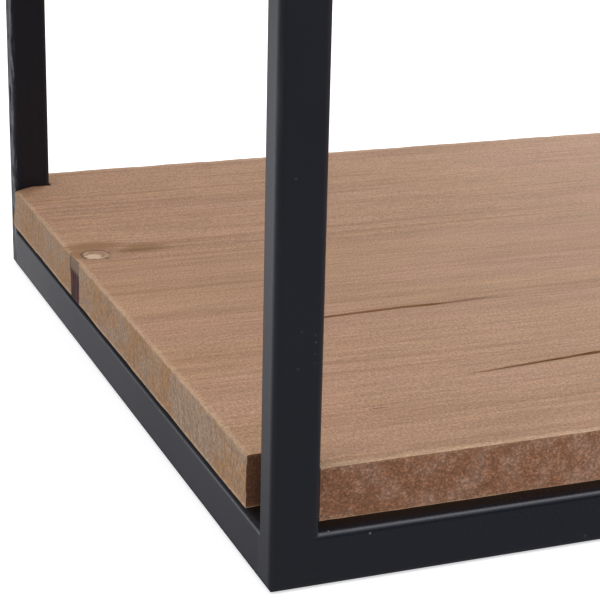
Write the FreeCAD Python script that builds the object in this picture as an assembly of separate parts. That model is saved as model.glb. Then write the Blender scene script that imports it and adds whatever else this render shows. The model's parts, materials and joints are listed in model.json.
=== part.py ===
import FreeCAD, Part
import os
from FreeCAD import Vector

# Shelving unit: a welded frame of rectangular steel tube that carries loose boards of solid
# fir, each notched around the four uprights. Millimetres, +Z up, front face towards -Y.
# Origin: middle of the unit's outline, on the floor.

# ---- driving dimensions -------------------------------------------------------------------
FRAME_W = 800.0            # outside width of the frame, along X
FRAME_D = 390.0            # outside depth of the frame, along Y
LEVELS = 4                 # boards
PITCH = 420.0              # from one level to the next

POST_X = 18.0              # upright tube, wide side to the front
POST_Y = 12.0              # upright tube, narrow side
POST_LEN = 1300.0          # upright tube, from the floor
RAIL_H = 20.0              # rail tube, height
RAIL_T = 12.0              # rail tube, thickness
WALL = 1.5                 # tube wall
R_OUT = 2.5                # outer corner radius of the tubes
R_IN = 1.0                 # inner corner radius of the tubes

BOARD_T = 19.5             # board thickness
BOARD_D = 399.8            # board depth
BOARD_OVER_X = 1.5         # board end past the frame, each side
BOARD_SET_BACK = 2.2       # board front behind the frame front
BOARD_LIFT = 3.3           # board underside above the rail tops
NOTCH_SIDE_GAP = 0.3       # notch to the upright's inner side
NOTCH_FRONT = 20.6         # front notch face, from the frame front
NOTCH_BACK_GAP = 0.4       # back notch face to the back upright
EASE = 0.8                 # eased long edges of the planks
PLANK_WIDTHS = [           # front and middle plank, the back plank takes the rest
    (136.8, 105.5),
    (125.8, 148.0),
    (144.8, 119.0),
    (130.8, 129.0),
]

BUMPER_D = 8.0             # bumper on a rail
BUMPER_H = 3.1
BUMPER_ROUND = 1.0
BUMPER_X = (-215.0, 0.0, 215.0)   # along the front and back rails
BUMPER_Y = (0.0,)                 # along the side rails, from the frame's middle

PLUG_FLANGE = 2.0          # top plug, head over the tube end
PLUG_DEPTH = 14.0          # top plug, in the tube
FOOT_RECESS = 0.8          # foot plug, behind the tube's lower end
FOOT_DEPTH = 12.0
PLUG_GAP = 0.15            # plug ribs to the tube wall
BEAD_LEG = 2.5             # fillet bead at the inner corners

# ---- worked out ---------------------------------------------------------------------------
Y_FRONT = -(BOARD_SET_BACK + BOARD_D) / 2.0          # frame front; the board ends the outline
Y_BACK = Y_FRONT + FRAME_D
X_OUT = FRAME_W / 2.0
X_IN = X_OUT - POST_X
BOARD_Y0 = Y_FRONT + BOARD_SET_BACK
BOARD_Y1 = BOARD_Y0 + BOARD_D
BOARD_X = X_OUT + BOARD_OVER_X
NOTCH_X = X_IN - NOTCH_SIDE_GAP
NOTCH_Y0 = Y_FRONT + NOTCH_FRONT
NOTCH_Y1 = Y_BACK - POST_Y - NOTCH_BACK_GAP

os.makedirs("parts", exist_ok=True)


def save(shape, name):
    shape.exportStep("parts/" + name + ".step")


def block(x0, x1, y0, y1, z0, z1):
    return Part.makeBox(x1 - x0, y1 - y0, z1 - z0, Vector(x0, y0, z0))


def edges_along(shape, axis):
    """Edges of a box that run along one axis."""
    found = []
    for e in shape.Edges:
        d = e.Vertexes[-1].Point - e.Vertexes[0].Point
        if abs(d.getAngle(axis)) < 1e-6 or abs(d.getAngle(-axis)) < 1e-6:
            found.append(e)
    return found


def bar(x0, x1, y0, y1, z0, z1, axis):
    """Outside of a tube: a bar with its long edges rounded."""
    b = block(x0, x1, y0, y1, z0, z1)
    return b.makeFillet(R_OUT, edges_along(b, axis))


def tube(x0, x1, y0, y1, z0, z1, axis):
    """Rectangular tube with rounded corners, open at both ends."""
    outer = bar(x0, x1, y0, y1, z0, z1, axis)
    wx = 0.0 if axis.x else WALL
    wy = 0.0 if axis.y else WALL
    wz = 0.0 if axis.z else WALL
    inner = block(x0 + wx, x1 - wx, y0 + wy, y1 - wy, z0 + wz, z1 - wz)
    inner = inner.makeFillet(R_IN, edges_along(inner, axis))
    return outer.cut(inner)


AX, AY, AZ = Vector(1, 0, 0), Vector(0, 1, 0), Vector(0, 0, 1)

# ---- uprights -----------------------------------------------------------------------------
corners = {
    "front_left": (-X_OUT, Y_FRONT),
    "front_right": (X_IN, Y_FRONT),
    "back_left": (-X_OUT, Y_BACK - POST_Y),
    "back_right": (X_IN, Y_BACK - POST_Y),
}
def ground_edge(a, b, u, v):
    """What grinding takes off the edge from a to b to round it like the rails beside it.
    u and v point from the edge into the upright."""
    def at(s, t):
        return a + u * s + v * t
    k = R_OUT * (1.0 - 0.5 ** 0.5)
    wire = Part.Wire([Part.LineSegment(at(-1, -1), at(R_OUT, -1)).toShape(),
                      Part.LineSegment(at(R_OUT, -1), at(R_OUT, 0)).toShape(),
                      Part.Arc(at(R_OUT, 0), at(k, k), at(0, R_OUT)).toShape(),
                      Part.LineSegment(at(0, R_OUT), at(-1, R_OUT)).toShape(),
                      Part.LineSegment(at(-1, R_OUT), at(-1, -1)).toShape()])
    return Part.Face(wire).extrude(b - a)


for name, (px, py) in corners.items():
    post = tube(px, px + POST_X, py, py + POST_Y, 0.0, POST_LEN, AZ)
    # the two lower edges on the outside are ground to the rails' own rounding
    ox, ux = (px, AX) if px < 0 else (px + POST_X, -AX)
    oy, uy = (py, AY) if py < 0 else (py + POST_Y, -AY)
    post = post.cut(ground_edge(Vector(px - 2, oy, 0), Vector(px + POST_X + 2, oy, 0), uy, AZ))
    post = post.cut(ground_edge(Vector(ox, py - 2, 0), Vector(ox, py + POST_Y + 2, 0), ux, AZ))
    save(post, "upright_" + name)


# ---- welds --------------------------------------------------------------------------------
def groove_fill(cx, cy, sx, sy, flush, rail):
    """Weld metal, ground flush with the rail, in the groove at an upright's rounded corner
    (cx, cy). sx and sy point from the corner into the upright, flush is the axis across the
    face that the rail and the upright share, and rail is the rail's outside run on past it."""
    z0, z1 = rail.BoundBox.ZMin, rail.BoundBox.ZMax
    a = Vector(cx + sx * R_OUT, cy, z0)
    b = Vector(cx, cy, z0)
    c = Vector(cx, cy + sy * R_OUT, z0)
    k = R_OUT * (1.0 - 0.5 ** 0.5)
    m = Vector(cx + sx * k, cy + sy * k, z0)
    if flush.x:
        off = Vector(-sx, 0, 0)
        line = [a, b + off, c + off, c]
    else:
        off = Vector(0, -sy, 0)
        line = [a, a + off, b + off, c]
    sides = [Part.LineSegment(p, q).toShape() for p, q in zip(line, line[1:])]
    wire = Part.Wire(sides + [Part.Arc(c, m, a).toShape()])
    return Part.Face(wire).extrude(Vector(0, 0, z1 - z0)).common(rail)


def inner_bead(cx, cy, sx, sy, z0, z1):
    """Convex fillet bead in the inner corner (cx, cy) of a side rail and an upright."""
    a = Vector(cx, cy, z0)
    b = Vector(cx + sx * BEAD_LEG, cy, z0)
    c = Vector(cx, cy + sy * BEAD_LEG, z0)
    m = Vector(cx + sx * BEAD_LEG * 0.58, cy + sy * BEAD_LEG * 0.58, z0)
    wire = Part.Wire([Part.LineSegment(a, b).toShape(), Part.Arc(b, m, c).toShape(),
                      Part.LineSegment(c, a).toShape()])
    return Part.Face(wire).extrude(Vector(0, 0, z1 - z0))


# ---- bumpers ------------------------------------------------------------------------------
def bumper(x, y, z):
    body = Part.makeCylinder(BUMPER_D / 2.0, BUMPER_H, Vector(x, y, z))
    top = [e for e in body.Edges
           if e.Closed and abs(e.CenterOfMass.z - (z + BUMPER_H)) < 1e-6]
    return body.makeFillet(BUMPER_ROUND, top)


# ---- planks -------------------------------------------------------------------------------
def plank(y0, y1, z0, front, back):
    """One plank of a board. A front or back plank is notched at both ends."""
    z1 = z0 + BOARD_T
    p = block(-BOARD_X, BOARD_X, y0, y1, z0, z1)
    if front:
        for s in (-1, 1):
            xa, xb = sorted((s * NOTCH_X, s * (BOARD_X + 5)))
            p = p.cut(block(xa, xb, y0 - 5, NOTCH_Y0, z0 - 5, z1 + 5))
    if back:
        for s in (-1, 1):
            xa, xb = sorted((s * NOTCH_X, s * (BOARD_X + 5)))
            p = p.cut(block(xa, xb, NOTCH_Y1, y1 + 5, z0 - 5, z1 + 5))
    yo = y0 if front else y1
    if front or back:
        long_edges = [e for e in edges_along(p, AX)
                      if abs(e.CenterOfMass.y - yo) < 1e-6]
        p = p.makeChamfer(EASE, long_edges)
    return p


# ---- levels -------------------------------------------------------------------------------
for level in range(LEVELS):
    n = str(level + 1)
    z0 = level * PITCH
    z1 = z0 + RAIL_H
    # rails butt against the uprights and stand flush with the frame's outer faces
    save(tube(-X_IN, X_IN, Y_FRONT, Y_FRONT + RAIL_T, z0, z1, AX), "front_rail_" + n)
    save(tube(-X_IN, X_IN, Y_BACK - RAIL_T, Y_BACK, z0, z1, AX), "back_rail_" + n)
    ya, yb = Y_FRONT + POST_Y, Y_BACK - POST_Y
    save(tube(-X_OUT, -X_OUT + RAIL_T, ya, yb, z0, z1, AY), "left_rail_" + n)
    save(tube(X_OUT - RAIL_T, X_OUT, ya, yb, z0, z1, AY), "right_rail_" + n)

    wa, wb = z0 + R_OUT, z1 - R_OUT
    front = bar(-X_OUT, X_OUT, Y_FRONT, Y_FRONT + RAIL_T, z0, z1, AX)
    back = bar(-X_OUT, X_OUT, Y_BACK - RAIL_T, Y_BACK, z0, z1, AX)
    welds = []
    for sx in (-1, 1):
        # ends of the front and back rails, outer and inner side
        for yc, sy, rail in ((Y_FRONT, 1, front), (Y_FRONT + POST_Y, -1, front),
                             (Y_BACK, -1, back), (Y_BACK - POST_Y, 1, back)):
            welds.append(groove_fill(sx * X_IN, yc, sx, sy, AY, rail))
        # ends of the side rails: outer groove and inner bead
        xa, xb = sorted((sx * X_OUT, sx * (X_OUT - RAIL_T)))
        side = bar(xa, xb, Y_FRONT, Y_BACK, z0, z1, AY)
        for yc, sy in ((ya, 1), (yb, -1)):
            welds.append(groove_fill(sx * X_OUT, yc, -sx, -sy, AX, side))
            welds.append(inner_bead(sx * (X_OUT - RAIL_T), yc, -sx, sy, wa, wb))
    save(Part.makeCompound(welds), "welds_" + n)

    pads = []
    for x in BUMPER_X:
        pads.append(bumper(x, Y_FRONT + RAIL_T / 2.0, z1))
        pads.append(bumper(x, Y_BACK - RAIL_T / 2.0, z1))
    for y in BUMPER_Y:
        for sx in (-1, 1):
            pads.append(bumper(sx * (X_OUT - RAIL_T / 2.0), (ya + yb) / 2.0 + y, z1))
    save(Part.makeCompound(pads), "bumpers_" + n)

    zb = z1 + BOARD_LIFT
    wf, wm = PLANK_WIDTHS[level]
    save(plank(BOARD_Y0, BOARD_Y0 + wf, zb, True, False), "shelf_" + n + "_front_plank")
    save(plank(BOARD_Y0 + wf, BOARD_Y0 + wf + wm, zb, False, False), "shelf_" + n + "_middle_plank")
    save(plank(BOARD_Y0 + wf + wm, BOARD_Y1, zb, False, True), "shelf_" + n + "_back_plank")


# ---- plugs --------------------------------------------------------------------------------
def rounded(x0, x1, y0, y1, z0, z1, r):
    b = block(x0, x1, y0, y1, z0, z1)
    return b.makeFillet(r, edges_along(b, AZ))


def ribbed(px, py, z0, z1, ribs):
    """Stem of a push-in plug with ribs that bear on the tube wall."""
    g = WALL + PLUG_GAP
    stem = rounded(px + WALL + 1.2, px + POST_X - WALL - 1.2,
                   py + WALL + 1.2, py + POST_Y - WALL - 1.2, z0, z1, 0.8)
    for zr in ribs:
        stem = stem.fuse(rounded(px + g, px + POST_X - g, py + g, py + POST_Y - g,
                                 zr, zr + 1.2, 0.8))
    return stem


tops, feet = [], []
for px, py in corners.values():
    head = rounded(px, px + POST_X, py, py + POST_Y, POST_LEN, POST_LEN + PLUG_FLANGE, R_OUT)
    rim = [e for e in head.Edges if abs(e.CenterOfMass.z - (POST_LEN + PLUG_FLANGE)) < 1e-6]
    head = head.makeFillet(0.8, rim)
    stem = ribbed(px, py, POST_LEN - PLUG_DEPTH, POST_LEN,
                  [POST_LEN - PLUG_DEPTH + k for k in (1.0, 5.0, 9.0)])
    tops.append(head.fuse(stem).removeSplitter())
    foot = ribbed(px, py, FOOT_RECESS, FOOT_RECESS + FOOT_DEPTH,
                  [FOOT_RECESS + k for k in (0.0, 4.5, 9.0)])
    feet.append(foot.removeSplitter())
save(Part.makeCompound(tops), "top_plugs")
save(Part.makeCompound(feet), "foot_plugs")
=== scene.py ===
import json
import math
import random

import bmesh
import bpy
from mathutils import Matrix, Vector
from mathutils import noise as perlin

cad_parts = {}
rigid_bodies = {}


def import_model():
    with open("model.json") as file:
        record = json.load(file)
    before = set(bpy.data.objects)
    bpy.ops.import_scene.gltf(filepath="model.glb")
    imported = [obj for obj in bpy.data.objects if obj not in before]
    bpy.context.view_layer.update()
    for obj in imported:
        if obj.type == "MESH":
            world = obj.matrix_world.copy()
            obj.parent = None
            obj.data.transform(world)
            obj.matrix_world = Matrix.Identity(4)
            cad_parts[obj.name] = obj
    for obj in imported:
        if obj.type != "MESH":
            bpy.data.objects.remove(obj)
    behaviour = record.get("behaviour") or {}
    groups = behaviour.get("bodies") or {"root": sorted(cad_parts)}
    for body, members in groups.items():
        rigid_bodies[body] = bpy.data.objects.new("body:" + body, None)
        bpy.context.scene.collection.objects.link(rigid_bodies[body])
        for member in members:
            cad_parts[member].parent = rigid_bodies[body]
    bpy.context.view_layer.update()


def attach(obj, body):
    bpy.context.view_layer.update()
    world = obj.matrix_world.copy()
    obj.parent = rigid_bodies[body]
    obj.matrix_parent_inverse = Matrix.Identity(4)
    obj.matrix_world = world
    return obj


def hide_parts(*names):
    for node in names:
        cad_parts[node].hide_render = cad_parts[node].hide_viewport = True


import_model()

# ----------------------------------------------------------------------------
# sizes repeated from the construction, in metres
# ----------------------------------------------------------------------------
HALF_W = 0.400                       # frame, half width over the uprights
FRONT, BACK = -0.201, 0.189          # frame, front and back faces
TUBE_X, TUBE_Y = 0.018, 0.012        # upright section
RAIL_H = 0.020
LEVELS = (0.0, 0.42, 0.84, 1.26)     # underside of each level's rails
BOARD_X = 0.4015                     # board, half length
BOARD_F, BOARD_B = -0.1988, 0.201    # board, front and back edges
BOARD_LO, BOARD_HI = 0.0233, 0.0428  # board, above its level
NOTCH_X = 0.3817                     # notch cheeks
NOTCH_F, NOTCH_B = -0.1804, 0.1766   # notch faces
JOINTS = ((-0.062, 0.0435), (-0.073, 0.075), (-0.054, 0.065), (-0.068, 0.061))
EASE = 0.0006                        # sanded-over upper edges of the boards
EASE_LOW = 0.0003                    # and lower edges


# ----------------------------------------------------------------------------
# a short way to write node trees
# ----------------------------------------------------------------------------
class Tree:
    def __init__(self, name, roughness=0.5, specular=0.5, ior=1.5):
        self.mat = bpy.data.materials.new(name)
        self.mat.use_nodes = True
        self.nodes = self.mat.node_tree.nodes
        self.links = self.mat.node_tree.links
        self.nodes.clear()
        self.out = self.nodes.new("ShaderNodeOutputMaterial")
        self.bsdf = self.nodes.new("ShaderNodeBsdfPrincipled")
        self.links.new(self.bsdf.outputs[0], self.out.inputs["Surface"])
        self.bsdf.inputs["Roughness"].default_value = roughness
        self.bsdf.inputs["Specular IOR Level"].default_value = specular
        self.bsdf.inputs["IOR"].default_value = ior
        coord = self.nodes.new("ShaderNodeTexCoord").outputs["Object"]
        self.mm = self.vec("MULTIPLY", coord, (1000.0, 1000.0, 1000.0))

    def put(self, socket, value):
        if hasattr(value, "is_output"):
            self.links.new(value, socket)
        else:
            socket.default_value = value

    def shade(self, **sockets):
        for name, value in sockets.items():
            self.put(self.bsdf.inputs[name.replace("_", " ")], value)

    def math(self, op, a, b=None, c=None, clamp=False):
        n = self.nodes.new("ShaderNodeMath")
        n.operation, n.use_clamp = op, clamp
        for i, v in enumerate((a, b, c)):
            if v is not None:
                self.put(n.inputs[i], v)
        return n.outputs[0]

    def vec(self, op, a, b=None, scale=None):
        n = self.nodes.new("ShaderNodeVectorMath")
        n.operation = op
        self.put(n.inputs[0], a)
        if b is not None:
            self.put(n.inputs[1], b)
        if scale is not None:
            self.put(n.inputs["Scale"], scale)
        return n.outputs["Value" if op == "LENGTH" else "Vector"]

    def split(self, v):
        n = self.nodes.new("ShaderNodeSeparateXYZ")
        self.put(n.inputs[0], v)
        return n.outputs[0], n.outputs[1], n.outputs[2]

    def join(self, x, y, z):
        n = self.nodes.new("ShaderNodeCombineXYZ")
        for i, v in enumerate((x, y, z)):
            self.put(n.inputs[i], v)
        return n.outputs[0]

    def noise(self, v, stretch=(1.0, 1.0, 1.0), shift=(0.0, 0.0, 0.0), detail=2.0, rough=0.5, colour=False):
        """Perlin noise whose cells are stretch millimetres long."""
        m = self.nodes.new("ShaderNodeMapping")
        self.put(m.inputs["Vector"], v)
        m.inputs["Location"].default_value = shift
        m.inputs["Scale"].default_value = tuple(1.0 / s for s in stretch)
        n = self.nodes.new("ShaderNodeTexNoise")
        self.put(n.inputs["Vector"], m.outputs[0])
        n.inputs["Scale"].default_value = 1.0
        n.inputs["Detail"].default_value = detail
        n.inputs["Roughness"].default_value = rough
        return n.outputs["Color"] if colour else n.outputs[0]

    def noise1(self, w, scale, detail=1.0):
        n = self.nodes.new("ShaderNodeTexNoise")
        n.noise_dimensions = "1D"
        self.put(n.inputs["W"], w)
        n.inputs["Scale"].default_value = scale
        n.inputs["Detail"].default_value = detail
        return n.outputs[0]

    def white(self, w):
        n = self.nodes.new("ShaderNodeTexWhiteNoise")
        n.noise_dimensions = "1D"
        self.put(n.inputs["W"], w)
        return n.outputs["Value"]

    def step(self, v, lo, hi, a=0.0, b=1.0):
        """Smooth step from a at lo to b at hi."""
        n = self.nodes.new("ShaderNodeMapRange")
        n.interpolation_type = "SMOOTHSTEP"
        for i, w in enumerate((v, lo, hi, a, b)):
            self.put(n.inputs[i], w)
        return n.outputs[0]

    def lin(self, v, lo, hi, a, b):
        n = self.nodes.new("ShaderNodeMapRange")
        n.interpolation_type = "LINEAR"
        n.clamp = True
        for i, w in enumerate((v, lo, hi, a, b)):
            self.put(n.inputs[i], w)
        return n.outputs[0]

    def mix(self, fac, a, b, mode="MIX"):
        n = self.nodes.new("ShaderNodeMix")
        n.data_type, n.blend_type = "RGBA", mode
        n.clamp_factor = True
        self.put(n.inputs[0], fac)
        for i, v in ((6, a), (7, b)):
            self.put(n.inputs[i], v if hasattr(v, "is_output") else (*v, 1.0))
        return n.outputs[2]

    def scale(self, colour, by):
        """A colour times a number."""
        return self.vec("SCALE", colour, scale=by)

    def bump(self, height, distance, strength=1.0):
        n = self.nodes.new("ShaderNodeBump")
        n.inputs["Strength"].default_value = strength
        n.inputs["Distance"].default_value = distance
        self.put(n.inputs["Height"], height)
        return n.outputs[0]


# ----------------------------------------------------------------------------
# fir
# ----------------------------------------------------------------------------
rng = random.Random(41)
TAN = (0.353, 0.208, 0.116)          # planed faces, yellower and pinker patches
PINK = (0.351, 0.202, 0.127)
PALE_ARRIS_HIGHLIGHT = (0.440, 0.300, 0.185)         # paler sanded arrises, partly a painted highlight where the eased edges catch the light
RUST = (0.248, 0.114, 0.060)         # sawn long edges, warm and grey patches, made darker than the top partly as painted shade
MAUVE = (0.247, 0.138, 0.091)
ASH = (0.262, 0.181, 0.124)          # sawn ends, grey and orange patches
HONEY = (0.268, 0.151, 0.073)


class Plank:
    """What the grain of one plank is like. Millimetres, pith relative to the plank's middle height."""

    def __init__(self, level, part, y0, y1, pith, tilt, ring, knots=(), checks=(), tone=1.0, ash=None):
        self.level, self.part, self.y0, self.y1 = level, part, y0, y1
        self.pith, self.tilt, self.ring = pith, tilt, ring
        self.knots, self.checks, self.tone, self.ash = knots, checks, tone, ash
        self.off = (rng.uniform(-900, 900), rng.uniform(-900, 900), rng.uniform(-900, 900))
        self.mid = (LEVELS[level - 1] + (BOARD_LO + BOARD_HI) / 2) * 1000
        self.name = f"fir_{level}_{part}"


def knot_distance(t, k, x, y, z, plank):
    """1 at the knot's rim. The knot leans, so its centre moves with depth below the top face."""
    depth = t.math("SUBTRACT", (LEVELS[plank.level - 1] + BOARD_HI) * 1000, z)
    cx = t.math("MULTIPLY_ADD", depth, k["lean"][0], k["at"][0])
    cy = t.math("MULTIPLY_ADD", depth, k["lean"][1], k["at"][1])
    ragged = t.noise(t.join(x, y, z), (3.0, 3.0, 6.0), detail=2)
    dx = t.math("DIVIDE", t.math("SUBTRACT", x, cx), k["r"][0])
    dy = t.math("DIVIDE", t.math("SUBTRACT", y, cy), k["r"][1])
    d = t.math("SQRT", t.math("ADD", t.math("MULTIPLY", dx, dx), t.math("MULTIPLY", dy, dy)))
    return t.math("ADD", d, t.math("MULTIPLY_ADD", ragged, 0.5, -0.25)), dx, dy


def grain(t, plank):
    """Late wood, fibres and tone of a plank, in the tree t."""
    x, y, z = t.split(t.mm)
    bent = y
    for k in plank.knots:            # fibres pass round a knot
        dx = t.math("DIVIDE", t.math("SUBTRACT", x, k["at"][0]), k["r"][0] * 2.6)
        w = t.math("EXPONENT", t.math("MULTIPLY", t.math("MULTIPLY", dx, dx), -1.0))
        w = t.math("MULTIPLY", w, k["r"][1] * 0.9)
        dy = t.math("SUBTRACT", y, k["at"][1])
        held = t.math("MINIMUM", t.math("MAXIMUM", dy, t.math("MULTIPLY", w, -1.0)), w)
        far = t.math("EXPONENT", t.math("MULTIPLY", t.math("ABSOLUTE", dy), -0.03))
        bent = t.math("SUBTRACT", bent, t.math("MULTIPLY", held, far))
    q = t.vec("ADD", t.join(x, bent, z), plank.off)
    slow = t.vec("SUBTRACT", t.noise(q, (430, 120, 120), detail=1, colour=True), (0.5, 0.5, 0.5))
    mid = t.vec("SUBTRACT", t.noise(q, (120, 30, 30), detail=1, colour=True), (0.5, 0.5, 0.5))
    fine = t.noise(q, (22, 2.6, 2.6), detail=1)
    drift = t.vec("ADD", t.vec("SCALE", slow, scale=26.0), t.vec("SCALE", mid, scale=4.0))
    _, wy, wz = t.split(drift)
    yy = t.math("ADD", t.math("ADD", bent, wy), t.math("MULTIPLY_ADD", fine, 0.8, -0.4))
    yy = t.math("SUBTRACT", yy, t.math("MULTIPLY_ADD", x, plank.tilt[0], plank.pith[0]))
    zz = t.math("SUBTRACT", t.math("ADD", z, wz), t.math("MULTIPLY_ADD", x, plank.tilt[1], plank.pith[1] + plank.mid))
    r = t.math("SQRT", t.math("ADD", t.math("MULTIPLY", yy, yy), t.math("MULTIPLY", zz, zz)))
    u = t.math("MULTIPLY_ADD", t.noise1(r, 1 / 17.0), 2.2, t.math("DIVIDE", r, plank.ring))
    f = t.math("FRACT", u)
    each = t.white(t.math("ADD", t.math("FLOOR", u), plank.off[0]))
    late = t.math("MULTIPLY", t.step(f, 0.28, 0.90), t.step(f, 0.92, 1.0, 1.0, 0.0))
    late = t.math("MULTIPLY", late, t.math("MULTIPLY_ADD", each, 0.75, 0.25))
    late = t.math("MULTIPLY", late, t.step(t.noise(q, (130, 16, 16), shift=(4.0, 2.0, 8.0), detail=2), 0.32, 0.62, 0.25, 1.0))
    return {
        "x": x, "y": y, "z": z, "q": q, "late": late, "f": f, "each": each,
        "fibre": t.noise(q, (58, 2.7, 2.7), detail=3, rough=0.55),
        "calm": t.noise(q, (210, 42, 42), shift=(6.0, 3.0, 1.0), detail=1),
        "dash": t.noise(q, (13, 1.3, 1.3), detail=2, rough=0.6),
        "speck": t.noise(q, (1.0, 1.4, 1.4), detail=2, rough=0.75),
        "streak": t.noise(q, (210, 7.5, 7.5), shift=(3.0, 1.0, 7.0), detail=3, rough=0.6),
        "tone": t.noise(q, (170, 36, 36), detail=2),
        "blot": t.noise(q, (46, 15, 15), detail=2),
    }


def joint_lines(t, g, plank, width, depth):
    """Factor that darkens the glue lines of the board."""
    made = 1.0
    for j in JOINTS[plank.level - 1]:
        d = t.math("ABSOLUTE", t.math("SUBTRACT", g["y"], j * 1000))
        line = t.step(d, 0.0, width, 1.0 - depth, 1.0)
        made = line if made == 1.0 else t.math("MULTIPLY", made, line)
    return made


def arris_wear_and_highlight(t, g, plank, face):
    """1 at the board's outer arrises, 0 a little way in, uneven: where the colour goes lighter, partly as handling
    wear, partly as a painted highlight.
    """
    if face:
        d = t.math("MULTIPLY", t.math("SUBTRACT", BOARD_X * 1000, t.math("ABSOLUTE", g["x"])), 0.50)
        front = t.math("MULTIPLY", t.math("SUBTRACT", g["y"], BOARD_F * 1000), 0.28)
        back = t.math("MULTIPLY", t.math("SUBTRACT", BOARD_B * 1000, g["y"]), 0.28)
        d = t.math("MINIMUM", d, t.math("MINIMUM", front, back))
    else:
        low = (LEVELS[plank.level - 1] + BOARD_LO) * 1000
        d = t.math("MINIMUM", t.math("SUBTRACT", g["z"], low), t.math("SUBTRACT", (BOARD_HI - BOARD_LO) * 1000 + low, g["z"]))
    uneven = t.noise(g["q"], (13, 13, 13), shift=(1.0, 5.0, 2.0), detail=2)
    return t.step(t.math("SUBTRACT", d, t.math("MULTIPLY", uneven, 1.2)), -0.3, 0.9, 1.0, 0.0)


def darker_along_check(t, g, check):
    """1 on the line of a drying check, falling off to both sides and past its ends."""
    line = check["line"]
    centre = line[0][1]
    for (xa, ya), (xb, yb) in zip(line, line[1:]):
        centre = t.math("ADD", t.lin(g["x"], xa, xb, 0.0, yb - ya), centre)
    waver = t.math("MULTIPLY_ADD", g["dash"], 1.6, -0.8)
    off = t.math("ABSOLUTE", t.math("ADD", t.math("SUBTRACT", g["y"], centre), waver))
    soft = t.step(off, 0.2, check["wide"] + 1.2, 1.0, 0.0)
    x0, x1 = line[0][0], line[-1][0]
    ends = t.math("MULTIPLY", t.step(g["x"], x0 - 4.0, x0 + 22.0), t.step(g["x"], x1 - 18.0, x1 + 10.0, 1.0, 0.0))
    return t.math("MULTIPLY", soft, ends)


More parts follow.
